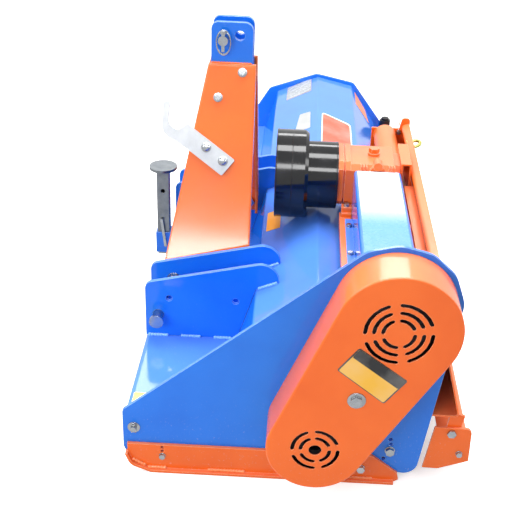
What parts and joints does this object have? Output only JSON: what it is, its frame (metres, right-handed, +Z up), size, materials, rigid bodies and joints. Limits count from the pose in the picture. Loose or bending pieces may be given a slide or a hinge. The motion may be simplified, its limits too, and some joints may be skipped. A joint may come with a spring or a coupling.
{
  "type": "tractor flail mulcher",
  "caption": "Flail mulcher for a tractor's three-point hitch: folded blue hood, orange headstock and belt guard, hammer rotor, rear roller, skids and gearbox with a drive-shaft shield.",
  "frame": {"origin": "middle of the footprint, on the floor that the skids stand on", "axes": "+X to the machine's left, the belt side; -Y to the tractor; +Z up"},
  "size_m": [1.911, 0.8633, 0.913],
  "materials": {
    "blue_paint": "glossy blue powder coat",
    "orange_paint": "satin orange powder coat",
    "cast_orange": "orange paint on rough casting",
    "zinc": "bright zinc plate",
    "black_plastic": "glossy moulded black plastic",
    "dark_steel": "dark forged steel",
    "machined_steel": "machined steel",
    "belt_rubber": "ribbed black rubber"
  },
  "bodies": {
    "frame": {"hood": "blue_paint", "side_plate_left": "blue_paint", "side_plate_right": "blue_paint", "hitch_plates": "blue_paint", "lower_link_pins": "zinc", "headstock_leg_left": "orange_paint", "headstock_leg_right": "orange_paint", "top_link_plates": "blue_paint", "top_link_pin": "zinc", "headstock_bolts": "zinc", "pto_hook": "zinc", "gearbox": "cast_orange", "gearbox_base": "orange_paint", "gearbox_carrier": "orange_paint", "drive_beam": "blue_paint", "beam_rail": "orange_paint", "pto_shield": "black_plastic", "rear_panel": "orange_paint", "panel_rail": "orange_paint", "tailgate_bolts": "zinc", "drive_support": "orange_paint", "rear_buffer": "black_plastic", "belt_guard": "orange_paint", "guard_bolt": "zinc", "rotor_bearing_right": "machined_steel", "rotor_bearing_left": "machined_steel", "skid_left": "orange_paint", "skid_right": "orange_paint", "roller_brackets": "dark_steel", "flap_rod": "zinc", "stand_sleeve": "blue_paint", "stand_pin": "zinc"},
    "rotor": {"rotor": "dark_steel", "rotor_hammers": "dark_steel", "lower_pulley": "dark_steel"},
    "cross_shaft": {"upper_pulley": "dark_steel"},
    "pto_input": {"pto_shaft": "machined_steel"},
    "roller": {"roller": "dark_steel"},
    "tailgate": {"tailgate": "orange_paint"},
    "front_flaps": {"front_flaps": "dark_steel"},
    "parking_stand": {"parking_stand": "zinc"}
  },
  "joints": [
    {"name": "rotor_spin", "type": "hinge", "parent": "frame", "child": "rotor", "pos_m": [-0.0415, 0.06565, 0.166], "axis": [1, 0, 0], "continuous": true},
    {"name": "cross_shaft_spin", "type": "hinge", "parent": "frame", "child": "cross_shaft", "pos_m": [-0.0415, 0.22165, 0.48], "axis": [1, 0, 0], "continuous": true},
    {"name": "pto_input_spin", "type": "hinge", "parent": "frame", "child": "pto_input", "pos_m": [0.2005, 0.00765, 0.49], "axis": [0, -1, 0], "continuous": true},
    {"name": "roller_spin", "type": "hinge", "parent": "frame", "child": "roller", "pos_m": [-0.0415, 0.23365, 0.088], "axis": [1, 0, 0], "continuous": true},
    {"name": "tailgate_swing", "type": "hinge", "parent": "frame", "child": "tailgate", "pos_m": [-0.0415, 0.38365, 0.134], "axis": [1, 0, 0], "range_deg": [0, 70]},
    {"name": "front_flaps_swing", "type": "hinge", "parent": "frame", "child": "front_flaps", "pos_m": [-0.0415, -0.35235, 0.117], "axis": [1, 0, 0], "range_deg": [-60, 60]},
    {"name": "parking_stand_slide", "type": "slide", "parent": "frame", "child": "parking_stand", "axis": [0, 0, 1], "range_m": [-0.025, 0.06]}
  ],
  "couplings": [
    {"joint": "cross_shaft_spin", "follows": "rotor_spin", "ratio": 0.76},
    {"joint": "pto_input_spin", "follows": "rotor_spin", "ratio": 0.2533}
  ]
}
